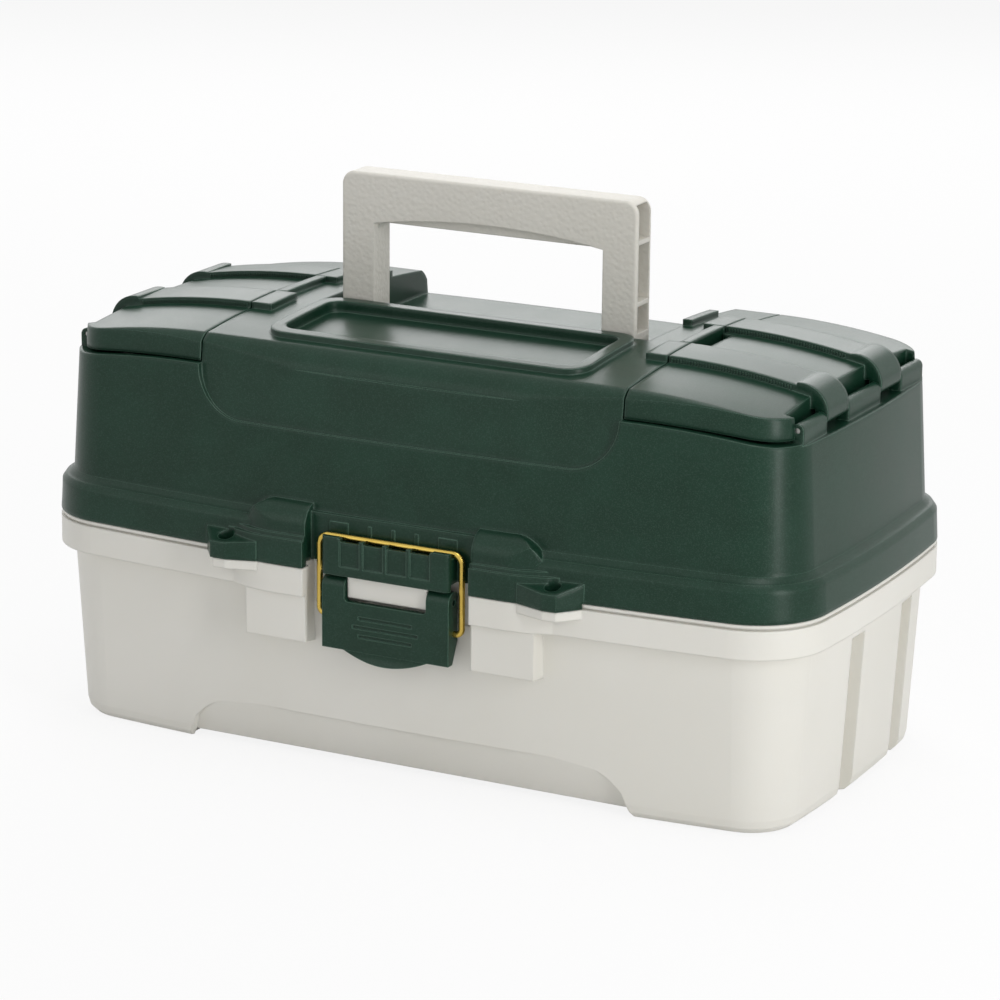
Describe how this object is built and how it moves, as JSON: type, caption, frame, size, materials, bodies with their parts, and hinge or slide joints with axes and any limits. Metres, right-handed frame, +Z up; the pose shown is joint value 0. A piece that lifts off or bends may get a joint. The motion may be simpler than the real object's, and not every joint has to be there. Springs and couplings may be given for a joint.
{
  "type": "tackle box",
  "caption": "Tackle box: drafted tub, hinged lid with two top access lids, folding handle, lever latch with wire bail, and stacked trays on swing-out arms.",
  "frame": {"origin": "on the ground under the middle of the box", "axes": "+Z up, -Y the front with the latch, +X to the right seen from the front"},
  "size_m": [0.44, 0.2461, 0.2914],
  "materials": {
    "tub_plastic": "light moulded polypropylene, fine matt grain",
    "lid_plastic": "dark green moulded polypropylene with a fine metallic fleck, satin",
    "cover_plastic": "the lid's own green, satin",
    "handle_plastic": "light moulded polypropylene with a fine leather-like grain",
    "latch_plastic": "the lid's own green, satin",
    "bail_brass": "drawn brass wire",
    "tray_plastic": "moulded polypropylene, smooth",
    "divider_plastic": "moulded polypropylene, smooth",
    "arm_metal": "stamped strip, tumbled edges",
    "pin_steel": "zinc plated"
  },
  "bodies": {
    "tub": {"tub_shell": "tub_plastic", "rear_hinge_pins": "pin_steel", "latch_pin": "pin_steel", "arm_pivot_rivets": "pin_steel"},
    "lid": {"lid_shell": "lid_plastic", "access_hinge_pin_right": "pin_steel", "access_hinge_pin_left": "pin_steel", "handle_pins": "pin_steel", "lid_link_studs": "pin_steel"},
    "right_cover": {"access_lid_right": "cover_plastic"},
    "left_cover": {"access_lid_left": "cover_plastic"},
    "handle": {"carry_handle": "handle_plastic"},
    "lever": {"latch_lever": "latch_plastic"},
    "bail": {"latch_bail": "bail_brass"},
    "rear_arms": {"rear_arm_right": "arm_metal", "rear_arm_left": "arm_metal", "link_rivets": "pin_steel"},
    "front_arms": {"front_arm_right": "arm_metal", "front_arm_left": "arm_metal"},
    "lift_links": {"lift_link_right": "arm_metal", "lift_link_left": "arm_metal"},
    "bottom_tray": {"tray_bottom": "tray_plastic", "tray_rivets_bottom": "pin_steel"},
    "middle_tray": {"tray_middle": "tray_plastic", "tray_rivets_middle": "pin_steel", "tray_dividers_middle": "divider_plastic"},
    "top_tray": {"tray_top": "tray_plastic", "tray_rivets_top": "pin_steel", "tray_dividers_top": "divider_plastic"}
  },
  "joints": [
    {"name": "lid_hinge", "type": "hinge", "parent": "tub", "child": "lid", "pos_m": [0, 0.1175, 0.1115], "axis": [-1, 0, 0], "range_deg": [0, 105]},
    {"name": "right_cover_hinge", "type": "hinge", "parent": "lid", "child": "right_cover", "pos_m": [0.2015, 0, 0.2035], "axis": [0, 1, 0], "range_deg": [0, 95]},
    {"name": "left_cover_hinge", "type": "hinge", "parent": "lid", "child": "left_cover", "pos_m": [-0.2015, 0, 0.2035], "axis": [0, -1, 0], "range_deg": [0, 95]},
    {"name": "handle_fold", "type": "hinge", "parent": "lid", "child": "handle", "pos_m": [0, -0.004, 0.213], "axis": [-1, 0, 0], "range_deg": [0, 90]},
    {"name": "latch_pull", "type": "hinge", "parent": "tub", "child": "lever", "pos_m": [0, -0.113, 0.1024], "axis": [-1, 0, 0], "range_deg": [0, 75]},
    {"name": "bail_swing", "type": "hinge", "parent": "lever", "child": "bail", "pos_m": [0, -0.113, 0.0864], "axis": [-1, 0, 0], "range_deg": [-56, 0]},
    {"name": "rear_arm_swing", "type": "hinge", "parent": "tub", "child": "rear_arms", "pos_m": [0, 0.0608, 0.0932], "axis": [-1, 0, 0], "range_deg": [0, 81]},
    {"name": "front_arm_swing", "type": "hinge", "parent": "tub", "child": "front_arms", "pos_m": [0, -0.0092, 0.0932], "axis": [-1, 0, 0], "range_deg": [0, 81]},
    {"name": "link_swing", "type": "hinge", "parent": "rear_arms", "child": "lift_links", "pos_m": [0, 0.0202, 0.1063], "axis": [-1, 0, 0], "range_deg": [-76, 0]},
    {"name": "bottom_tray_level", "type": "hinge", "parent": "rear_arms", "child": "bottom_tray", "pos_m": [0, 0.05262, 0.10198], "axis": [-1, 0, 0], "range_deg": [-81, 0]},
    {"name": "middle_tray_level", "type": "hinge", "parent": "rear_arms", "child": "middle_tray", "pos_m": [0, 0.02881, 0.1275], "axis": [-1, 0, 0], "range_deg": [-81, 0]},
    {"name": "top_tray_level", "type": "hinge", "parent": "rear_arms", "child": "top_tray", "pos_m": [0, 0.00501, 0.15302], "axis": [-1, 0, 0], "range_deg": [-81, 0]}
  ],
  "couplings": [
    {"joint": "bail_swing", "follows": "latch_pull", "ratio": -0.706},
    {"joint": "rear_arm_swing", "follows": "lid_hinge", "ratio": 0.76191},
    {"joint": "front_arm_swing", "follows": "lid_hinge", "ratio": 0.76191},
    {"joint": "link_swing", "follows": "lid_hinge", "ratio": -0.71191},
    {"joint": "bottom_tray_level", "follows": "lid_hinge", "ratio": -0.76191},
    {"joint": "middle_tray_level", "follows": "lid_hinge", "ratio": -0.76191},
    {"joint": "top_tray_level", "follows": "lid_hinge", "ratio": -0.76191}
  ]
}
